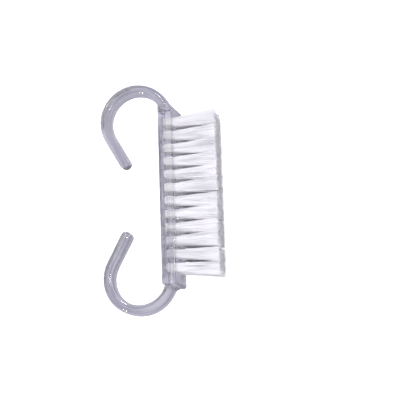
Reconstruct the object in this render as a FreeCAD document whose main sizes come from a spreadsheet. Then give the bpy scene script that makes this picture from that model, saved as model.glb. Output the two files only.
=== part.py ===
import FreeCAD, Part
import Sketcher
import os
from math import cos, pi, radians, sin
from FreeCAD import Vector

# Clear one-piece nail brush, lying on its side.
# X points along the bristles, Y along the brush and Z across its width, upwards.
# The origin is under the middle of the bounding box, on the surface it lies on.
# Inside each sub-part, x = 0 is the back face of the block and y = z = 0 its middle.

doc = FreeCAD.newDocument("NailBrush")
sheet = doc.addObject("Spreadsheet::Sheet", "Sizes")

# Driving sizes in mm and degrees
sizes = {
    "overallLength": "65",
    "blockLength": "50",
    "blockThick": "4",
    "blockWidth": "12",
    "blockCorner": "0.8",
    "blockBevel": "0.3",
    "hookInnerRadius": "7.4",
    "rodThick": "3",
    "rodWidth": "5",
    "rodRound": "1.3",
    "legAngle": "29",
    "legLength": "9.9",
    "tipBevel": "0.5",
    "columnCount": "12",
    "rowCount": "3",
    "columnPitch": "3.68",
    "rowPitch": "3.4",
    "holeDiameter": "2.5",
    "holeDepth": "3",
    "tuftRoot": "2.2",
    "tuftSides": "12",
    "tuftTip": "3.3",
    "tuftFree": "11.6",
    "tuftSplay": "0.7",
    "foldThick": "0.4",
    "stapleLength": "2.3",
    "stapleDeep": "1",
    "stapleThick": "0.3",
    "playGap": "0.1",
}
for row, (alias, value) in enumerate(sizes.items(), start=1):
    sheet.set(f"A{row}", alias)
    sheet.set(f"B{row}", value)
    sheet.setAlias(f"B{row}", alias)
doc.recompute()

# Where the middle of the bounding box puts the back face, and the height of the middle plane
backFaceX = "(2 * Sizes.hookInnerRadius + Sizes.rodThick - Sizes.blockThick - Sizes.tuftFree) / 2"
middleZ = "Sizes.blockWidth / 2"

# Centre height of each hook's arc, measured along the brush
hookCentreY = "Sizes.overallLength / 2 - Sizes.hookInnerRadius - Sizes.rodThick"


def putAt(thing, x, y, z):
    """Bind the place of an object to three formulas."""
    for axis, formula in zip("xyz", (x, y, z)):
        thing.setExpression(f"Placement.Base.{axis}", formula)


def place(part):
    """Seat a finished sub-part in the frame of the whole brush."""
    putAt(part, backFaceX, "0", middleZ)


def originPlane(body, role):
    """Origin plane of a body, found by its role."""
    return next(plane for plane in body.Origin.OriginFeatures if plane.Role == role)


def newSketch(body, name, role, offset="0"):
    """Empty sketch on an origin plane of its body, moved along the plane's normal."""
    sketch = body.newObject("Sketcher::SketchObject", name)
    sketch.AttachmentSupport = (originPlane(body, role), "")
    sketch.MapMode = "FlatFace"
    sketch.setExpression("AttachmentOffset.Base.z", offset)
    return sketch


def limit(sketch, formula, kind, *geometry):
    """Dimensional constraint bound to the sheet, which starts at the value that the sheet gives."""
    value = FreeCAD.Units.Quantity(sketch.evalExpression(formula)).Value
    start = radians(value) if kind == "Angle" else value
    index = sketch.addConstraint(Sketcher.Constraint(kind, *geometry, start))
    sketch.setExpression(f"Constraints[{index}]", formula)


def tie(sketch, kind, *geometry):
    """Geometric constraint."""
    sketch.addConstraint(Sketcher.Constraint(kind, *geometry))


START, END, CENTRE = 1, 2, 3
AXES, ORIGIN = -1, 1

# Half sizes, where the sketches' lines and circles start before their constraints hold them
halfLength = sheet.blockLength / 2
halfWidth = sheet.blockWidth / 2
halfThick = sheet.rodThick / 2
halfRod = sheet.rodWidth / 2

# Handle: block
handle = doc.addObject("PartDesign::Body", "Handle")
handle.Label = "handle"

outline = newSketch(handle, "BlockOutline", "XY_Plane")
front = sheet.blockThick
cornerPlaces = [(0, -halfLength), (front, -halfLength), (front, halfLength), (0, halfLength)]
points = [Vector(x, y) for x, y in cornerPlaces]
for first, second in zip(points, points[1:] + points[:1]):
    outline.addGeometry(Part.LineSegment(first, second))
for side in range(4):
    tie(outline, "Coincident", side, END, (side + 1) % 4, START)
tie(outline, "Horizontal", 0)
tie(outline, "Vertical", 1)
tie(outline, "Horizontal", 2)
tie(outline, "Vertical", 3)
tie(outline, "Symmetric", 3, START, 3, END, AXES, ORIGIN)
limit(outline, "Sizes.blockThick", "DistanceX", 0, START, 0, END)
limit(outline, "Sizes.blockLength", "DistanceY", 1, START, 1, END)

block = handle.newObject("PartDesign::Pad", "Block")
block.Profile = outline
block.SideType = "Symmetric"
block.setExpression("Length", "Sizes.blockWidth")

# Handle: one hook, a flattened rod carried round an arc and down a straight leg.
# Each corner of the rod's section is five points of a quarter circle, which keeps the swept faces plain.
section = newSketch(handle, "RodSection", "XZ_Plane", f"-({hookCentreY})")
cornerSteps = 4
inward = [1 - cos(pi / 2 * step / cornerSteps) for step in range(cornerSteps + 1)]
corner = list(zip(inward, reversed(inward)))
quarters = [(1, 1), (-1, 1), (-1, -1), (1, -1)]
cuts = []
for quarter, (signX, signY) in enumerate(quarters):
    for cutX, cutY in corner if quarter % 2 == 0 else reversed(corner):
        cuts.append((signX, signY, cutX, cutY))
for index in range(len(cuts)):
    ends = [cuts[index], cuts[(index + 1) % len(cuts)]]
    section.addGeometry(Part.LineSegment(*[
        Vector(halfThick + x * (halfThick - cutX * sheet.rodRound), y * (halfRod - cutY * sheet.rodRound))
        for x, y, cutX, cutY in ends]))
for index, (signX, signY, cutX, cutY) in enumerate(cuts):
    tie(section, "Coincident", index, START, index - 1 if index else len(cuts) - 1, END)
    x = f"Sizes.rodThick / 2 + {signX} * (Sizes.rodThick / 2 - {cutX} * Sizes.rodRound)"
    y = f"{signY} * (Sizes.rodWidth / 2 - {cutY} * Sizes.rodRound)"
    limit(section, x, "DistanceX", AXES, ORIGIN, index, START)
    limit(section, y, "DistanceY", AXES, ORIGIN, index, START)

path = newSketch(handle, "HookPath", "XY_Plane")
bend = pi + radians(sheet.legAngle)
bendRadius = sheet.hookInnerRadius + halfThick
bendCentre = Vector(-sheet.hookInnerRadius, sheet.overallLength / 2 - sheet.hookInnerRadius - sheet.rodThick)
path.addGeometry(Part.ArcOfCircle(Part.Circle(bendCentre, Vector(0, 0, 1), bendRadius), 0, bend))
bendEnd = bendCentre + Vector(cos(bend), sin(bend)) * bendRadius
path.addGeometry(Part.LineSegment(bendEnd, bendEnd + Vector(-sin(bend), cos(bend)) * sheet.legLength))
tie(path, "Tangent", 0, END, 1, START)
limit(path, "-Sizes.hookInnerRadius", "DistanceX", AXES, ORIGIN, 0, CENTRE)
limit(path, hookCentreY, "DistanceY", AXES, ORIGIN, 0, CENTRE)
limit(path, "Sizes.hookInnerRadius + Sizes.rodThick / 2", "Radius", 0)
limit(path, "0", "DistanceY", 0, CENTRE, 0, START)
limit(path, "Sizes.legLength", "Distance", 1)
limit(path, "(Sizes.legAngle - 90) * 1 deg", "Angle", 1)

hook = handle.newObject("PartDesign::AdditivePipe", "Hook")
hook.Profile = section
hook.Spine = (path, [])
doc.recompute()

hookPair = handle.newObject("PartDesign::Mirrored", "HookPair")
hookPair.Originals = [hook]
hookPair.MirrorPlane = (originPlane(handle, "XZ_Plane"), [""])
handle.Tip = hookPair
doc.recompute()


def dressEdges(kind, name, base, property, formula, chosen):
    """Fillet or chamfer of a body's edges whose middle passes a test."""
    edges = [f"Edge{i}" for i, edge in enumerate(base.Shape.Edges, start=1) if chosen(edge.CenterOfMass)]
    dressed = handle.newObject(f"PartDesign::{kind}", name)
    dressed.Base = (base, edges)
    dressed.setExpression(property, formula)
    doc.recompute()
    return dressed


legEnd = path.Geometry[1].EndPoint
near = 1e-6


def isTip(point):
    """Rim of the flat end of a leg."""
    return Vector(point.x, abs(point.y), 0).distanceToPoint(legEnd) < sheet.rodThick * 0.55 + near


def isCorner(point):
    """Upright edge between the block's front and an end."""
    return point.x > sheet.blockThick - near and abs(point.y) > halfLength - near


def isRim(point):
    """Rim of either side face of the block."""
    return abs(point.z) > halfWidth - near


# Handle: the tips' rims, the block's front corners and the rims of its sides
tips = dressEdges("Chamfer", "Tips", hookPair, "Size", "Sizes.tipBevel", isTip)
corners = dressEdges("Fillet", "BlockCorners", tips, "Radius", "Sizes.blockCorner", isCorner)
rims = dressEdges("Chamfer", "BlockRims", corners, "Size", "Sizes.blockBevel", isRim)

# Handle: blind holes for the tufts, in rows across the front face
hole = newSketch(handle, "HoleOutline", "YZ_Plane", "Sizes.blockThick")
firstColumn = "(Sizes.columnCount - 1) / 2 * Sizes.columnPitch"
firstRow = "(Sizes.rowCount - 1) / 2 * Sizes.rowPitch"
holeCentre = Vector(-hole.evalExpression(firstColumn), -hole.evalExpression(firstRow))
hole.addGeometry(Part.Circle(holeCentre, Vector(0, 0, 1), sheet.holeDiameter / 2))
limit(hole, f"-{firstColumn}", "DistanceX", AXES, ORIGIN, 0, CENTRE)
limit(hole, f"-{firstRow}", "DistanceY", AXES, ORIGIN, 0, CENTRE)
limit(hole, "Sizes.holeDiameter", "Diameter", 0)
blindHole = handle.newObject("PartDesign::Pocket", "BlindHole")
blindHole.Profile = hole
blindHole.setExpression("Length", "Sizes.holeDepth")
doc.recompute()

holes = handle.newObject("PartDesign::MultiTransform", "Holes")
holes.Originals = [blindHole]
alongBrush = doc.addObject("PartDesign::LinearPattern", "HoleColumns")
alongBrush.Direction = (hole, ["H_Axis"])
alongBrush.setExpression("Length", "(Sizes.columnCount - 1) * Sizes.columnPitch")
alongBrush.setExpression("Occurrences", "Sizes.columnCount")
acrossBrush = doc.addObject("PartDesign::LinearPattern", "HoleRows")
acrossBrush.Direction = (hole, ["V_Axis"])
acrossBrush.setExpression("Length", "(Sizes.rowCount - 1) * Sizes.rowPitch")
acrossBrush.setExpression("Occurrences", "Sizes.rowCount")
holes.Transformations = [alongBrush, acrossBrush]
handle.Tip = holes
doc.recompute()
place(handle)
subParts = [handle]

# Tufts: a bundle folded round a staple in each hole, wider at its trimmed tip.
# The columns near the ends and the outer rows lean outwards.
rowNames = ["lower", "middle", "upper"]
along = "({0} * Sizes.columnPitch - (Sizes.columnCount - 1) / 2 * Sizes.columnPitch)"
across = "({0} * Sizes.rowPitch - (Sizes.rowCount - 1) / 2 * Sizes.rowPitch)"
floorX = "Sizes.blockThick - Sizes.holeDepth + Sizes.playGap"


def stapleBox(name, play, length):
    """Flat box where a staple lies, with play all round."""
    box = doc.addObject("Part::Box", name)
    box.setExpression("Length", f"Sizes.stapleDeep + 2 * {play}")
    box.setExpression("Width", length)
    box.setExpression("Height", f"Sizes.stapleThick + 2 * {play}")
    return box


def tuftSection(name, width, x, y, z):
    """Polygon across the bristles, as wide as stated between its flats."""
    turn = FreeCAD.Rotation(Vector(0, 0, 1), 180 / sheet.tuftSides)
    polygon = doc.addObject("Part::RegularPolygon", name)
    polygon.Placement.Rotation = FreeCAD.Rotation(Vector(0, 1, 0), 90) * turn
    polygon.setExpression("Polygon", "Sizes.tuftSides")
    polygon.setExpression("Circumradius", f"{width} / 2 / cos(180 deg / Sizes.tuftSides)")
    putAt(polygon, x, y, z)
    return polygon


def makeTuft(rowIndex, columnIndex):
    """One tuft, with a slot through its root for the staple."""
    tag = f"{rowNames[rowIndex]}_{columnIndex + 1:02d}"
    y = along.format(columnIndex)
    z = across.format(rowIndex)
    tipY = f"{y} + Sizes.tuftSplay * (2 * {columnIndex} / (Sizes.columnCount - 1) - 1) ^ 5"
    tipZ = f"{z} + Sizes.tuftSplay / 2 * (2 * {rowIndex} / (Sizes.rowCount - 1) - 1)"

    bundle = doc.addObject("Part::Loft", f"Bundle_{tag}")
    bundle.Sections = [
        tuftSection(f"Floor_{tag}", "Sizes.tuftRoot", floorX, y, z),
        tuftSection(f"Mouth_{tag}", "Sizes.tuftRoot", "Sizes.blockThick", y, z),
        tuftSection(f"Tip_{tag}", "Sizes.tuftTip", "Sizes.blockThick + Sizes.tuftFree", tipY, tipZ),
    ]
    bundle.Solid = True
    bundle.Ruled = True
    bundle.Linearize = True

    slot = stapleBox(f"Slot_{tag}", "Sizes.playGap", "Sizes.holeDiameter")
    putAt(slot, f"{floorX} + Sizes.foldThick", f"{y} - Sizes.holeDiameter / 2",
          f"{z} - Sizes.stapleThick / 2 - Sizes.playGap")

    tuft = doc.addObject("Part::Cut", f"Tuft_{tag}")
    tuft.Base = bundle
    tuft.Tool = slot
    tuft.Label = f"tuft_{tag}"
    place(tuft)
    return tuft


for rowIndex in range(int(sheet.rowCount)):
    for columnIndex in range(int(sheet.columnCount)):
        subParts.append(makeTuft(rowIndex, columnIndex))

# Staples: one short flat wire across the bottom of every hole, all alike, in one group
staples = doc.addObject("Part::Compound", "Staples")
staples.Label = "staples"
links = []
for rowIndex in range(int(sheet.rowCount)):
    for columnIndex in range(int(sheet.columnCount)):
        staple = stapleBox(f"Staple_{rowNames[rowIndex]}_{columnIndex + 1:02d}", "0", "Sizes.stapleLength")
        putAt(staple, f"{floorX} + Sizes.foldThick + Sizes.playGap",
              f"{along.format(columnIndex)} - Sizes.stapleLength / 2",
              f"{across.format(rowIndex)} - Sizes.stapleThick / 2")
        links.append(staple)
staples.Links = links
place(staples)
subParts.append(staples)

doc.recompute()
os.makedirs("parts", exist_ok=True)
for thing in doc.Objects:
    if "Invalid" in thing.State or "Error" in thing.State:
        raise RuntimeError(f"{thing.Name} failed to build")
for part in subParts:
    if part.Shape.isNull() or not part.Shape.isValid():
        raise RuntimeError(f"{part.Label} has no valid shape")
    part.Shape.exportStep(os.path.join("parts", f"{part.Label}.step"))
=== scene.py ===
import bpy
import numpy as np
from mathutils import Matrix, Vector


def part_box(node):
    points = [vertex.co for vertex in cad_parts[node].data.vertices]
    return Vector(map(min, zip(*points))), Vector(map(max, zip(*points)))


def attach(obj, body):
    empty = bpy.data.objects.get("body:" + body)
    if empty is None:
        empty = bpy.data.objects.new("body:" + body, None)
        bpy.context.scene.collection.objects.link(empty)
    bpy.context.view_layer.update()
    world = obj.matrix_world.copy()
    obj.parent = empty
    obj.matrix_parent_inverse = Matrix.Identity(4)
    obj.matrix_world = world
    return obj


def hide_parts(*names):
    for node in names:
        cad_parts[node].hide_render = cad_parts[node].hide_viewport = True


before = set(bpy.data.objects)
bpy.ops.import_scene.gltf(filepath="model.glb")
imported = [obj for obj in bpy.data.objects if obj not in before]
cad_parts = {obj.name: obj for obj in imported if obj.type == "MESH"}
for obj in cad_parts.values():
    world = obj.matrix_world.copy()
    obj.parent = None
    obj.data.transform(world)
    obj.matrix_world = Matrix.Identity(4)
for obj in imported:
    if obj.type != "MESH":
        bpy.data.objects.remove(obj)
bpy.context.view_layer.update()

mm = 0.001   # the sizes below are in mm


# A mesh object from arrays of corners and of faces, standing at the origin.
def meshPiece(name, corners, faces):
    mesh = bpy.data.meshes.new(name)
    mesh.from_pydata(corners.reshape(-1, 3).tolist(), [], faces)
    mesh.update()
    piece = bpy.data.objects.new(name, mesh)
    bpy.context.scene.collection.objects.link(piece)
    return piece


# Faces of a tube: ring i joins ring i+1, every ring closes on itself, and flat faces shut both ends.
def tubeFaces(rings, around, first=0):
    i, j = np.meshgrid(np.arange(rings - 1), np.arange(around), indexing="ij")
    a = first + i * around + j
    b = first + i * around + (j + 1) % around
    quads = np.stack([a, b, b + around, a + around], axis=-1).reshape(-1, 4).tolist()
    last = first + (rings - 1) * around
    return quads + [list(range(first + around - 1, first - 1, -1)), list(range(last, last + around))]


# One mesh from the piece and a tool, by the exact solver.
def combine(piece, tool, operation):
    step = piece.modifiers.new("combine", "BOOLEAN")
    step.operation = operation
    step.solver = "EXACT"
    step.object = tool
    seen = piece.evaluated_get(bpy.context.evaluated_depsgraph_get())
    mesh = bpy.data.meshes.new_from_object(seen)
    piece.modifiers.clear()
    piece.data = mesh
    bpy.data.objects.remove(tool)


def newMaterial(name):
    material = bpy.data.materials.new(name)
    material.use_nodes = True
    nodes = material.node_tree.nodes
    return material, nodes, material.node_tree.links, nodes["Principled BSDF"]


def noiseNode(nodes, links, place, scale, detail=3.0, rough=0.5):
    noise = nodes.new("ShaderNodeTexNoise")
    noise.inputs["Scale"].default_value = scale
    noise.inputs["Detail"].default_value = detail
    noise.inputs["Roughness"].default_value = rough
    links.new(place, noise.inputs["Vector"])
    return noise


# Values from one range carried to another.
def rangeNode(nodes, links, source, low, high, fromLow=0.3, fromHigh=0.7):
    node = nodes.new("ShaderNodeMapRange")
    for socket, value in zip(("From Min", "From Max", "To Min", "To Max"), (fromLow, fromHigh, low, high)):
        node.inputs[socket].default_value = value
    links.new(source, node.inputs["Value"])
    return node.outputs["Result"]


clearLook = {
    "tintLight": (0.98, 0.98, 0.99, 1.0),
    # painted shade: the darker tint, laid in thin streaks along the flow lines, stands in for the dark lines
    # that refraction draws in the clear rod
    "paintedStreakShade": (0.55, 0.545, 0.61, 1.0),
    "shadow": (0.97, 0.967, 0.985, 1.0),   # what is left of a lamp's light behind one wall
    "ior": 1.49,
    "roughLow": 0.01,
    "roughHigh": 0.03,
    "lineScale": 1400.0,    # flow lines left by the melt, per metre across the rod; the same lines bump the surface and paint dark shade streaks into the tint
    "lineStretch": 0.03,
    "lineDepth": 0.00015, "lineStrength": 0.8, "lineDetail": 2.0,
    "toneFrom": 0.42, "toneTo": 0.58,       # the part of the lines' range over which the tint changes, from clear to the painted shade of the dark streaks
}


# Lamps reach what lies behind the plastic, dimmed by its tint.
def letThrough(nodes, links, shader, colour):
    path = nodes.new("ShaderNodeLightPath")
    clear = nodes.new("ShaderNodeBsdfTransparent")
    clear.inputs["Color"].default_value = colour
    mix = nodes.new("ShaderNodeMixShader")
    links.new(path.outputs["Is Shadow Ray"], mix.inputs["Fac"])
    links.new(shader.outputs["BSDF"], mix.inputs[1])
    links.new(clear.outputs["BSDF"], mix.inputs[2])
    links.new(mix.outputs["Shader"], nodes["Material Output"].inputs["Surface"])


def clearPlastic():
    material, nodes, links, shader = newMaterial("clearPlastic")
    flow = nodes.new("ShaderNodeAttribute")
    flow.attribute_name = "flow"
    stretch = nodes.new("ShaderNodeMapping")
    stretch.inputs["Scale"].default_value = (1.0, clearLook["lineStretch"], 1.0)
    links.new(flow.outputs["Vector"], stretch.inputs["Vector"])
    shader.inputs["IOR"].default_value = clearLook["ior"]
    shader.inputs["Transmission Weight"].default_value = 1.0
    lines = noiseNode(
        nodes, links, stretch.outputs["Vector"], clearLook["lineScale"], clearLook["lineDetail"])
    rough = rangeNode(nodes, links, lines.outputs["Fac"], clearLook["roughLow"], clearLook["roughHigh"])
    links.new(rough, shader.inputs["Roughness"])
    # painted shade: the tint darkens in streaks along the flow lines, in place of the rod's dark refraction
    # lines
    tone = nodes.new("ShaderNodeMix")
    tone.data_type = "RGBA"
    tone.inputs["A"].default_value = clearLook["paintedStreakShade"]
    tone.inputs["B"].default_value = clearLook["tintLight"]
    share = rangeNode(
        nodes, links, lines.outputs["Fac"], 0.0, 1.0, clearLook["toneFrom"], clearLook["toneTo"])
    links.new(share, tone.inputs["Factor"])
    links.new(tone.outputs["Result"], shader.inputs["Base Color"])
    bump = nodes.new("ShaderNodeBump")
    bump.inputs["Strength"].default_value = clearLook["lineStrength"]
    bump.inputs["Distance"].default_value = clearLook["lineDepth"]
    links.new(lines.outputs["Fac"], bump.inputs["Height"])
    links.new(bump.outputs["Normal"], shader.inputs["Normal"])
    letThrough(nodes, links, shader, clearLook["shadow"])
    return material


nylonLook = {
    "light": (0.88, 0.87, 0.90, 1.0),
    "dark": (0.70, 0.69, 0.73, 1.0),
    "shadow": (0.972, 0.972, 0.977, 1.0),   # what is left of a lamp's light behind one filament
    "ior": 1.53, "transmission": 0.12, "roughLow": 0.28, "roughHigh": 0.42,
    "mottleScale": 900.0, "mottleStretch": 0.12, "mottleDetail": 2.0,
    "toneFrom": 0.3, "toneTo": 0.55,
    "holeShadeFrom": -0.2, "holeShadeTo": 0.4,      # where the painted shade in the holes fades out, in mm from the block's face
    "holeShadeTone": 0.82,       # painted shade on the filaments inside the holes, against 1 outside
}


def whiteNylon():
    material, nodes, links, shader = newMaterial("whiteNylon")
    place = nodes.new("ShaderNodeTexCoord").outputs["Object"]
    stretch = nodes.new("ShaderNodeMapping")
    stretch.inputs["Scale"].default_value = (nylonLook["mottleStretch"], 1.0, 1.0)
    links.new(place, stretch.inputs["Vector"])
    mottle = noiseNode(
        nodes, links, stretch.outputs["Vector"], nylonLook["mottleScale"], nylonLook["mottleDetail"])
    tone = nodes.new("ShaderNodeMix")
    tone.data_type = "RGBA"
    tone.inputs["A"].default_value = nylonLook["dark"]
    tone.inputs["B"].default_value = nylonLook["light"]
    share = rangeNode(
        nodes, links, mottle.outputs["Fac"], 0.0, 1.0, nylonLook["toneFrom"], nylonLook["toneTo"])
    links.new(share, tone.inputs["Factor"])
    parts = nodes.new("ShaderNodeSeparateXYZ")
    links.new(place, parts.inputs["Vector"])
    # painted shade: the filaments' colour darkens inside the holes, where the block shades them
    depth = rangeNode(
        nodes, links, parts.outputs["X"], nylonLook["holeShadeTone"], 1.0,
        high.x + nylonLook["holeShadeFrom"] * mm, high.x + nylonLook["holeShadeTo"] * mm)
    holeShading = nodes.new("ShaderNodeVectorMath")
    holeShading.operation = "SCALE"
    links.new(tone.outputs["Result"], holeShading.inputs["Vector"])
    links.new(depth, holeShading.inputs["Scale"])
    links.new(holeShading.outputs["Vector"], shader.inputs["Base Color"])
    rough = rangeNode(nodes, links, mottle.outputs["Fac"], nylonLook["roughLow"], nylonLook["roughHigh"])
    links.new(rough, shader.inputs["Roughness"])
    shader.inputs["Transmission Weight"].default_value = nylonLook["transmission"]
    shader.inputs["IOR"].default_value = nylonLook["ior"]
    letThrough(nodes, links, shader, nylonLook["shadow"])
    return material


steelLook = {
    "dark": (0.45, 0.45, 0.47, 1.0), "light": (0.66, 0.66, 0.68, 1.0),
    "grainScale": 2500.0, "grainDetail": 4.0, "roughLow": 0.25, "roughHigh": 0.45,
}


def stapleSteel():
    material, nodes, links, shader = newMaterial("stapleSteel")
    place = nodes.new("ShaderNodeTexCoord").outputs["Object"]
    drawn = noiseNode(nodes, links, place, steelLook["grainScale"], steelLook["grainDetail"])
    tone = nodes.new("ShaderNodeMix")
    tone.data_type = "RGBA"
    tone.inputs["A"].default_value = steelLook["dark"]
    tone.inputs["B"].default_value = steelLook["light"]
    links.new(drawn.outputs["Fac"], tone.inputs["Factor"])
    links.new(tone.outputs["Result"], shader.inputs["Base Color"])
    rough = rangeNode(nodes, links, drawn.outputs["Fac"], steelLook["roughLow"], steelLook["roughHigh"])
    links.new(rough, shader.inputs["Roughness"])
    shader.inputs["Metallic"].default_value = 1.0
    return material


handleSizes = {
    "blockThick": 4.0, "blockLength": 50.0, "blockWidth": 12.0,
    "frontCorner": 0.8, "backCorner": 0.5, "rim": 0.45,
    "innerRadius": 7.4, "rodThick": 3.0, "rodWidth": 5.0, "squareness": 3.7,
    "legAngle": 29.0, "legLength": 9.9, "tipRound": 1.4,
    "neckRound": 0.7, "rootDepth": 2.0,
    "holeRadius": 1.25, "holeDepth": 3.0, "holeFloorRound": 0.25,
    "segments": 48, "rimSteps": 5, "cornerSteps": 6, "leastCorner": 0.02, "holeSteps": 4, "cutBeyond": 1.0,
    "rootSteps": 3, "rootShort": 0.3, "rootSlant": 0.08, "arcSteps": 110, "legSteps": 12, "tipSteps": 7,
    "sharpAngle": 38,
}

low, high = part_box("handle")
tuftNodes = sorted(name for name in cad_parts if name.startswith("tuft_"))
middleZ = (low.z + high.z) / 2
backX = high.x - handleSizes["blockThick"] * mm


# A rounded outline: quarter circles at four corners, each with its own radius.
# A point is its corner's centre plus the radius, less the inset, times the direction.
def roundedOutline(corners, inset, steps, least):
    turns = np.linspace(0, np.pi / 2, steps)
    points = []
    for quarter, (x, y, radius) in enumerate(corners):
        angle = turns + quarter * np.pi / 2
        reach = max(radius - inset, least)
        points.append(np.stack([x + reach * np.cos(angle), y + reach * np.sin(angle)], axis=-1))
    return np.concatenate(points)


# The block: its side outline carried across the width, drawn in by a quarter circle at both rims.
def blockShell(size):
    halfLength, halfWidth = size["blockLength"] / 2, size["blockWidth"] / 2
    front, back, rim = size["frontCorner"], size["backCorner"], size["rim"]
    corners = [
        (size["blockThick"] - front, halfLength - front, front), (back, halfLength - back, back),
        (back, -halfLength + back, back), (size["blockThick"] - front, -halfLength + front, front),
    ]
    turn = np.linspace(0, np.pi / 2, size["rimSteps"])
    inset, rise = rim * (1 - np.sin(turn)), rim * (1 - np.cos(turn))
    insets = np.concatenate([inset, inset[::-1]])
    heights = np.concatenate([rise - halfWidth, halfWidth - rise[::-1]])
    rings = []
    for inset, height in zip(insets, heights):
        outline = roundedOutline(corners, inset, size["cornerSteps"], size["leastCorner"])
        rings.append(np.column_stack([outline, np.full(len(outline), height)]))
    return np.stack(rings)


# A hook: the rod's section carried round an arc and down the leg. The section is between an ellipse and a
# rectangle: its half sizes times the cosine and sine of the turn, each raised to a power below one.
# Each point is the path's point, plus the section's offset along the outward normal and across the width.
# The section swells by a quarter circle where it meets the block, and draws in by one at the blunt tip.
def hookSweep(size, sign):
    centreX, radius = -size["innerRadius"], size["innerRadius"] + size["rodThick"] / 2
    centreY = (high.y / mm) - size["innerRadius"] - size["rodThick"]
    bend = np.pi + np.radians(size["legAngle"])
    root = np.linspace(-size["rootDepth"], -size["rootShort"], size["rootSteps"])
    arc = np.linspace(0, bend, size["arcSteps"])
    leg = np.linspace(0, size["legLength"] - size["tipRound"], size["legSteps"])[1:]
    tip = np.linspace(0, np.pi / 2, size["tipSteps"])[1:]

    pathX = np.concatenate([
        centreX + radius - root * size["rootSlant"], centreX + radius * np.cos(arc),
        centreX + radius * np.cos(bend) - leg * np.sin(bend),
        centreX + radius * np.cos(bend) - (leg[-1] + size["tipRound"] * np.sin(tip)) * np.sin(bend)])
    pathY = np.concatenate([
        centreY + root, centreY + radius * np.sin(arc),
        centreY + radius * np.sin(bend) + leg * np.cos(bend),
        centreY + radius * np.sin(bend) + (leg[-1] + size["tipRound"] * np.sin(tip)) * np.cos(bend)])
    facing = np.concatenate([root * 0, arc, leg * 0 + bend, tip * 0 + bend])   # angle of the outward normal
    drawIn = np.concatenate([
        np.zeros(len(pathX) - len(tip)), size["tipRound"] * (1 - np.cos(tip))])
    beyond = np.clip(pathY - size["blockLength"] / 2, 0, size["neckRound"])
    swell = np.where(
        facing < np.pi / 2,
        size["neckRound"] - np.sqrt(size["neckRound"] ** 2 - (size["neckRound"] - beyond) ** 2), 0.0)

    turn = np.linspace(0, 2 * np.pi, size["segments"] + 1)[:-1] + np.pi / size["segments"]
    outward, across = np.cos(turn)[None, :], np.sin(turn)[None, :]
    power = 2 / size["squareness"]
    grow = swell[:, None] * np.clip(outward + 1, 0, 1) - drawIn[:, None]
    offset = (size["rodThick"] / 2 + grow) * np.sign(outward) * abs(outward) ** power
    height = (size["rodWidth"] / 2 + grow) * np.sign(across) * abs(across) ** power
    x = pathX[:, None] + offset * np.cos(facing)[:, None]
    y = pathY[:, None] + offset * np.sin(facing)[:, None]
    return np.stack([x, sign * y, height + 0 * x], axis=-1)


# The tools for the blind holes: a circle carried into the block, drawn in by a quarter circle at the floor.
# Known fault: their faces point inwards, so the solver only marks circles on the block and cuts no hole.
# With the circles' order turned round, seated(cutters[:, :, ::-1]), it cuts them all.
def holeCutters(size, mouths):
    angle = np.linspace(0, 2 * np.pi, size["segments"] + 1)[:-1]
    turn = np.linspace(0, np.pi / 2, size["holeSteps"])
    fillet = size["holeFloorRound"]
    floorX = size["blockThick"] - size["holeDepth"]
    depth = np.concatenate([[size["blockThick"] + size["cutBeyond"]], floorX + fillet * (1 - np.sin(turn))])
    radius = np.concatenate([[size["holeRadius"]], size["holeRadius"] - fillet * (1 - np.cos(turn))])
    x = depth[None, :, None] + 0 * angle[None, None, :] + 0 * mouths[:, 0, None, None]
    y = mouths[:, 0, None, None] + radius[None, :, None] * np.cos(angle)[None, None, :]
    z = mouths[:, 1, None, None] + radius[None, :, None] * np.sin(angle)[None, None, :]
    return np.stack([x, y, z], axis=-1)


# Middle of a tuft node's root and tip, read from its own mesh.
def tuftEnds(name):
    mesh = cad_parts[name].data
    corners = np.empty(len(mesh.vertices) * 3)
    mesh.vertices.foreach_get("co", corners)
    corners = corners.reshape(-1, 3)
    ends = []
    for edge in (corners[:, 0].min(), corners[:, 0].max()):
        ring = corners[abs(corners[:, 0] - edge) < 0.01 * mm]
        ends.append((ring.min(axis=0) + ring.max(axis=0)) / 2)
    return ends


tuftPlaces = {name: tuftEnds(name) for name in tuftNodes}


# From the handle's own millimetres to the frame.
def seated(points):
    return points * mm + np.array([backX, 0.0, middleZ])


# Where each corner lies along the flow of the plastic, kept for the material: how far out from the middle
# line of block and hooks, how far along that line, and the height. The middle line is straight in the block,
# then an arc, then straight again in the leg.
def addFlow(piece, size):
    mesh = piece.data
    corners = np.empty(len(mesh.vertices) * 3)
    mesh.vertices.foreach_get("co", corners)
    x, y, z = ((corners.reshape(-1, 3) - [backX, 0.0, middleZ]) / mm).T
    radius = size["innerRadius"] + size["rodThick"] / 2
    centreY = (high.y / mm) - size["innerRadius"] - size["rodThick"]
    fromX, fromY = x + size["innerRadius"], abs(y) - centreY
    bend = np.pi + np.radians(size["legAngle"])
    angle = np.arctan2(fromY, fromX) % (2 * np.pi)
    outX, outY = np.cos(bend), np.sin(bend)
    outLeg, alongLeg = fromX * outX + fromY * outY, fromY * outX - fromX * outY
    inBlock = (fromY < 0) & (fromX > 0)
    inLeg = ~inBlock & (angle > bend - 1e-6)
    out = np.where(inBlock, fromX - radius, np.where(inLeg, outLeg - radius, np.hypot(fromX, fromY) - radius))
    along = np.where(inBlock, fromY, np.where(inLeg, radius * bend + alongLeg, radius * angle)) + centreY
    flow = mesh.attributes.new("flow", "FLOAT_VECTOR", "POINT")
    flow.data.foreach_set("vector", (np.stack([out, np.sign(y) * along, z], axis=-1) * mm).ravel())


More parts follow.
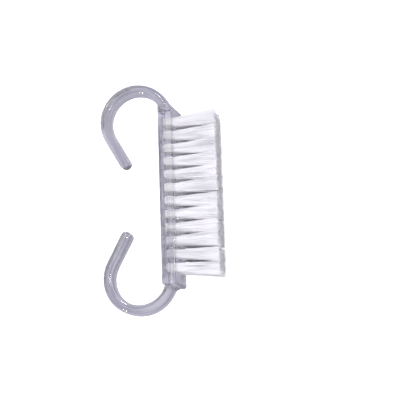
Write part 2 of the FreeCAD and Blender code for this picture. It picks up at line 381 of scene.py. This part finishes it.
def buildHandle():
    size = handleSizes
    shell = blockShell(size)
    handle = meshPiece("clearHandle", seated(shell), tubeFaces(*shell.shape[:2]))
    for name, sign in (("hookPlus", 1), ("hookMinus", -1)):
        sweep = hookSweep(size, sign)
        if sign > 0:
            sweep = sweep[:, ::-1]
        hook = meshPiece(name, seated(sweep), tubeFaces(*sweep.shape[:2]))
        combine(handle, hook, "UNION")
    mouths = np.array([(root[1] / mm, (root[2] - middleZ) / mm) for root, tip in tuftPlaces.values()])
    cutters = holeCutters(size, mouths)
    count, rings, around = cutters.shape[:3]
    faces = []
    for hole in range(count):
        faces += tubeFaces(rings, around, hole * rings * around)
    tool = meshPiece("holeCutters", seated(cutters), faces)
    combine(handle, tool, "DIFFERENCE")
    handle.data.shade_smooth()
    handle.data.set_sharp_from_angle(angle=np.radians(size["sharpAngle"]))
    weigh = handle.modifiers.new("weighNormals", "WEIGHTED_NORMAL")
    weigh.keep_sharp = True
    addFlow(handle, size)
    handle.data.materials.clear()
    handle.data.materials.append(clearPlastic())
    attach(handle, "root")
    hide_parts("handle")
    return handle


handle = buildHandle()
print("handle", len(handle.data.polygons), "faces")


tuftSizes = {
    "filaments": 52,          # folded filaments in a tuft
    "filamentRadius": 0.11,
    "rootRadius": 1.12,
    "foldLow": 1.12, "stapleLow": 1.55,
    "tipHalfY": 1.86, "tipHalfZ": 1.72,
    "tipScatter": 0.2, "bow": 0.12, "trim": 0.45, "tipGap": 0.05,
    "clearance": 0.27, "squeeze": 0.76, "seatRadius": 1.13,    # the legs part to clear the staple
    "lean": 0.18, "drawIn": 0.2,    # tufts lean unevenly, and the outer rows towards the middle one
    "tipSquare": 0.22, "tipReach": 1.1,    # how far the tip opens to a square, and how far a filament strays
    "foldShare": 0.3, "foldLeast": 0.92,   # how much shallower the fold is at the sides of the tuft
    "trimShape": (1.3, 4), "legSteps": 7, "foldSteps": 7, "sides": 5, "sharpAngle": 80, "firstSeed": 100,
}


# Points spread evenly over a disc: the radius grows with the root of the index, the angle by the golden turn.
def spreadDisc(count, radius, rng):
    index = np.arange(count) + 0.5
    angle = index * np.pi * (3 - np.sqrt(5)) + rng.uniform(0, 2 * np.pi)
    reach = radius * np.sqrt(index / count)
    return np.stack([reach * np.cos(angle), reach * np.sin(angle)], axis=-1)


# A tuft: each filament comes down one leg, folds under the staple in half an ellipse and goes up the other.
# A leg runs straight in the hole, then opens towards its place in the tip with a slight bow.
def tuftSweep(size, root, tip, faceX, rng):
    count = size["filaments"]
    spots = spreadDisc(2 * count, size["rootRadius"], rng)
    spots = spots[np.argsort(spots[:, 1])]
    half = np.where(np.arange(2 * count) < count, -1.0, 1.0)
    seats = spots.copy()      # where the legs stand behind the block's face, within the hole's radius
    seats[:, 1] = spots[:, 1] * size["squeeze"] + half * size["clearance"]
    room = np.sqrt(size["seatRadius"] ** 2 - seats[:, 1] ** 2)
    seats[:, 0] = np.clip(spots[:, 0], -room, room)
    lower, upper = seats[:count], seats[count:][::-1]      # the pairs nest round the staple
    inward = np.array([0.0, size["drawIn"] * (root[2] - middleZ) / mm])
    lean = (tip - root)[1:] / mm + rng.normal(0, size["lean"], 2) - inward
    legs = []
    for seat, spot in ((upper, spots[count:][::-1]), (lower, spots[:count])):
        square = spot / size["rootRadius"]
        square = square * (1 + size["tipSquare"] * (2 * square[:, :1] * square[:, 1:]) ** 2)
        tipHalf = np.array([size["tipHalfY"], size["tipHalfZ"]])
        end = square * tipHalf + rng.normal(0, size["tipScatter"], spot.shape)
        end = np.clip(end, -tipHalf * size["tipReach"], tipHalf * size["tipReach"]) + lean
        along = np.linspace(0, 1, size["legSteps"])[None, :, None]
        bow = rng.normal(0, size["bow"], (count, 1, 2))
        yz = seat[:, None] * (1 - along) + end[:, None] * along + bow * np.sin(np.pi * along)
        reach = tip[0] / mm - size["tipGap"] - faceX
        x = faceX + along[..., 0] * (reach - size["trim"] * rng.beta(*size["trimShape"], (count, 1)))
        legs.append(np.concatenate([x[..., None], yz], axis=-1))
    low = size["stapleLow"]
    turn = np.linspace(0, np.pi, size["foldSteps"])[None, :]
    midZ, halfZ = (upper[:, 1:] + lower[:, 1:]) / 2, (upper[:, 1:] - lower[:, 1:]) / 2
    deepness = np.clip(halfZ / size["rootRadius"] + size["foldShare"], size["foldLeast"], 1)
    depth = (low - size["foldLow"]) * deepness
    share = turn / np.pi
    fold = np.stack([
        low - depth * np.sin(turn) + 0 * midZ,
        upper[:, :1] * (1 - share) + lower[:, :1] * share,
        midZ + halfZ * np.cos(turn)], axis=-1)
    path = np.concatenate([legs[0][:, ::-1], fold, legs[1]], axis=1)
    ahead = np.gradient(path, axis=1)
    ahead /= np.linalg.norm(ahead, axis=-1, keepdims=True)
    side = np.cross(ahead, [0.0, 1.0, 0.0])
    side /= np.linalg.norm(side, axis=-1, keepdims=True)
    over = np.cross(ahead, side)
    angle = np.linspace(0, 2 * np.pi, size["sides"] + 1)[:-1]
    ring = size["filamentRadius"] * (
        side[:, :, None] * np.cos(angle)[:, None] + over[:, :, None] * np.sin(angle)[:, None])
    return path[:, :, None] + ring


nylon = whiteNylon()


def buildTuft(name, number):
    size = tuftSizes
    root, tip = tuftPlaces[name]
    rng = np.random.default_rng(size["firstSeed"] + number)
    faceX = (high.x - backX) / mm
    tipHere = np.array([tip[0] - backX, tip[1], tip[2]])
    rootHere = np.array([root[0] - backX, root[1], root[2]])
    sweep = tuftSweep(size, rootHere, tipHere, faceX, rng)
    count, rings, around = sweep.shape[:3]
    faces = []
    for filament in range(count):
        faces += tubeFaces(rings, around, filament * rings * around)
    points = sweep * mm + np.array([backX, root[1], root[2]])
    tuft = meshPiece("bristles_" + name[5:], points, faces)
    tuft.data.shade_smooth()
    tuft.data.set_sharp_from_angle(angle=np.radians(size["sharpAngle"]))
    tuft.data.materials.append(nylon)
    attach(tuft, "root")
    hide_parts(name)
    return tuft


tufts = [buildTuft(name, number) for number, name in enumerate(tuftNodes)]
print("tufts", len(tufts), "with", len(tufts[0].data.polygons), "faces each")


stapleSizes = {
    "length": 2.3, "deep": 1.0, "thick": 0.3, "squareness": 4.0, "around": 16,
    "endTaper": 0.75, "taperFrom": 0.46, "sharpAngle": 50,    # the taper starts at this share of the length
}


# The staples: in every hole a short flat wire, as long as the hole is wide less a little play.
# A section between an ellipse and a rectangle is carried along the brush, and drawn in at both ends.
# Known fault: the faces point inwards, until the section's order is turned round in the same way.
def buildStaples():
    size = stapleSizes
    low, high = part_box("staples")
    holes = np.array([(root[1], root[2]) for root, tip in tuftPlaces.values()])
    turn = np.linspace(0, 2 * np.pi, size["around"] + 1)[:-1] + np.pi / size["around"]
    power = 2 / size["squareness"]
    deep = size["deep"] / 2 * np.sign(np.cos(turn)) * abs(np.cos(turn)) ** power
    thick = size["thick"] / 2 * np.sign(np.sin(turn)) * abs(np.sin(turn)) ** power
    along = size["length"] * np.array([-0.5, -size["taperFrom"], size["taperFrom"], 0.5])
    draw = np.array([size["endTaper"], 1, 1, size["endTaper"]])
    x = (low.x + high.x) / 2 + mm * draw[None, :, None] * deep + 0 * holes[:, 0, None, None]
    y = holes[:, 0, None, None] + mm * along[None, :, None] + 0 * deep
    z = holes[:, 1, None, None] + mm * draw[None, :, None] * thick
    faces = []
    for number in range(len(holes)):
        faces += tubeFaces(len(along), len(turn), number * len(along) * len(turn))
    staples = meshPiece("stapleWires", np.stack([x, y, z], axis=-1), faces)
    staples.data.shade_smooth()
    staples.data.set_sharp_from_angle(angle=np.radians(size["sharpAngle"]))
    staples.data.materials.append(stapleSteel())
    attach(staples, "root")
    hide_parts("staples")


buildStaples()
print("staples")


studio = {
    "floorHalf": 600.0, "floorSquares": 8,
    "grainScale": 40.0, "floorRough": (0.7, 0.8), "floorSpecular": 0.1,
    "floorTone": (0.93, 0.93, 0.935, 1.0),
    "floorShadeInPlastic": (0.31, 0.305, 0.355, 1.0),   # painted shade: a darker floor, shown only to refracted and reflected rays, which gives the clear plastic its grey tone
    "floorDrop": 0.05,
    "skyTop": (1.0, 1.0, 1.0, 1.0),
    "skyRim": (0.25, 0.245, 0.29, 1.0),
    "skySide": (0.70, 0.69, 0.76, 1.0),
    "skyStrength": 0.54,
    "rimStop": 0.02, "sideStop": 0.14, "topStop": 0.45,    # heights at which the sky has these tones
    "floorGlow": 0.55,
    "keySize": 60.0, "keyPower": 0.27, "keyPlace": (10.0, 190.0, 270.0),
    "fillSize": 45.0, "fillPower": 0.15, "fillPlace": (40.0, 20.0, 320.0),
    "sideSize": 40.0, "sidePower": 0.30, "sidePlace": (-150.0, -120.0, 250.0),
}


def buildFloor():
    half = studio["floorHalf"] * mm
    squares = studio["floorSquares"]
    row = squares + 1
    steps = np.linspace(-half, half, row)
    x, y = np.meshgrid(steps, steps, indexing="ij")
    i, j = np.meshgrid(np.arange(squares), np.arange(squares), indexing="ij")
    a = (i * row + j).ravel()
    faces = np.stack([a, a + row, a + row + 1, a + 1], axis=-1).tolist()
    floor = meshPiece("floor", np.stack([x, y, 0 * x - studio["floorDrop"] * mm], axis=-1), faces)
    material, nodes, links, shader = newMaterial("paleFloor")
    place = nodes.new("ShaderNodeTexCoord").outputs["Object"]
    grain = noiseNode(nodes, links, place, studio["grainScale"])
    rough = rangeNode(nodes, links, grain.outputs["Fac"], *studio["floorRough"])
    links.new(rough, shader.inputs["Roughness"])
    # painted shade: rays through or off the plastic see the floor, and its glow, darker than the camera does
    path = nodes.new("ShaderNodeLightPath")
    tone = nodes.new("ShaderNodeMix")
    tone.data_type = "RGBA"
    tone.inputs["A"].default_value = studio["floorTone"]
    tone.inputs["B"].default_value = studio["floorShadeInPlastic"]
    bent = nodes.new("ShaderNodeMath")
    links.new(path.outputs["Is Transmission Ray"], bent.inputs[0])
    links.new(path.outputs["Is Glossy Ray"], bent.inputs[1])
    links.new(bent.outputs["Value"], tone.inputs["Factor"])
    links.new(tone.outputs["Result"], shader.inputs["Base Color"])
    links.new(tone.outputs["Result"], shader.inputs["Emission Color"])
    shader.inputs["Specular IOR Level"].default_value = studio["floorSpecular"]
    shader.inputs["Emission Strength"].default_value = studio["floorGlow"]
    floor.data.materials.append(material)


# The sky is white above and cooler grey at the horizon, which gives clear plastic its darker edges.
def buildSky():
    world = bpy.data.worlds.new("softStudio")
    world.use_nodes = True
    bpy.context.scene.world = world
    nodes, links = world.node_tree.nodes, world.node_tree.links
    background = nodes["Background"]
    place = nodes.new("ShaderNodeTexCoord").outputs["Generated"]
    parts = nodes.new("ShaderNodeSeparateXYZ")
    links.new(place, parts.inputs["Vector"])
    ramp = nodes.new("ShaderNodeValToRGB")
    ramp.color_ramp.elements[0].position = studio["rimStop"]
    ramp.color_ramp.elements[0].color = studio["skyRim"]
    ramp.color_ramp.elements[1].position = studio["topStop"]
    ramp.color_ramp.elements[1].color = studio["skyTop"]
    ramp.color_ramp.elements.new(studio["sideStop"]).color = studio["skySide"]
    links.new(parts.outputs["Z"], ramp.inputs["Fac"])
    links.new(ramp.outputs["Color"], background.inputs["Color"])
    background.inputs["Strength"].default_value = studio["skyStrength"]


def addLight(name, size, power, place):
    light = bpy.data.lights.new(name, "AREA")
    light.shape = "DISK"
    light.size = size * mm
    light.energy = power
    lamp = bpy.data.objects.new(name, light)
    lamp.location = Vector(place) * mm
    lamp.rotation_euler = (-lamp.location).to_track_quat("-Z", "Y").to_euler()
    bpy.context.scene.collection.objects.link(lamp)


# The camera looks down on the brush, a little from the tips' side and from one end.
view = {
    "towardsTips": 13.5, "towardsEnd": 11.5, "roll": -1.9,   # degrees
    "distance": 400.0, "width": 110.3,   # the width seen at that distance, in mm
    "aimRight": 9.65, "aimUp": -0.69,
    "sensor": 36.0, "clipNear": 0.01, "clipFar": 10.0,
}


def buildCamera():
    data = bpy.data.cameras.new("camera")
    data.sensor_width = view["sensor"]
    data.lens = data.sensor_width * view["distance"] / view["width"]
    data.clip_start, data.clip_end = view["clipNear"], view["clipFar"]
    camera = bpy.data.objects.new("camera", data)
    turn = (Matrix.Rotation(np.radians(view["roll"]), 3, "Z").transposed()
            @ Matrix.Rotation(np.radians(view["towardsEnd"]), 3, "X").transposed()
            @ Matrix.Rotation(np.radians(view["towardsTips"]), 3, "Y").transposed())
    facing = turn.transposed()
    centre = Vector((backX, 0.0, middleZ))
    aim = Vector((view["aimRight"], view["aimUp"], view["distance"])) * mm
    camera.matrix_world = Matrix.Translation(centre + facing @ aim) @ facing.to_4x4()
    bpy.context.scene.collection.objects.link(camera)
    bpy.context.scene.camera = camera


buildFloor()
buildSky()
addLight("key", studio["keySize"], studio["keyPower"], studio["keyPlace"])
addLight("fill", studio["fillSize"], studio["fillPower"], studio["fillPlace"])
addLight("side", studio["sideSize"], studio["sidePower"], studio["sidePlace"])
buildCamera()
bpy.context.scene.view_settings.view_transform = "Standard"
cycles = bpy.context.scene.cycles
cycles.max_bounces = 24
cycles.transmission_bounces = 20
cycles.diffuse_bounces = 10
cycles.glossy_bounces = 8
print("floor, light and camera")
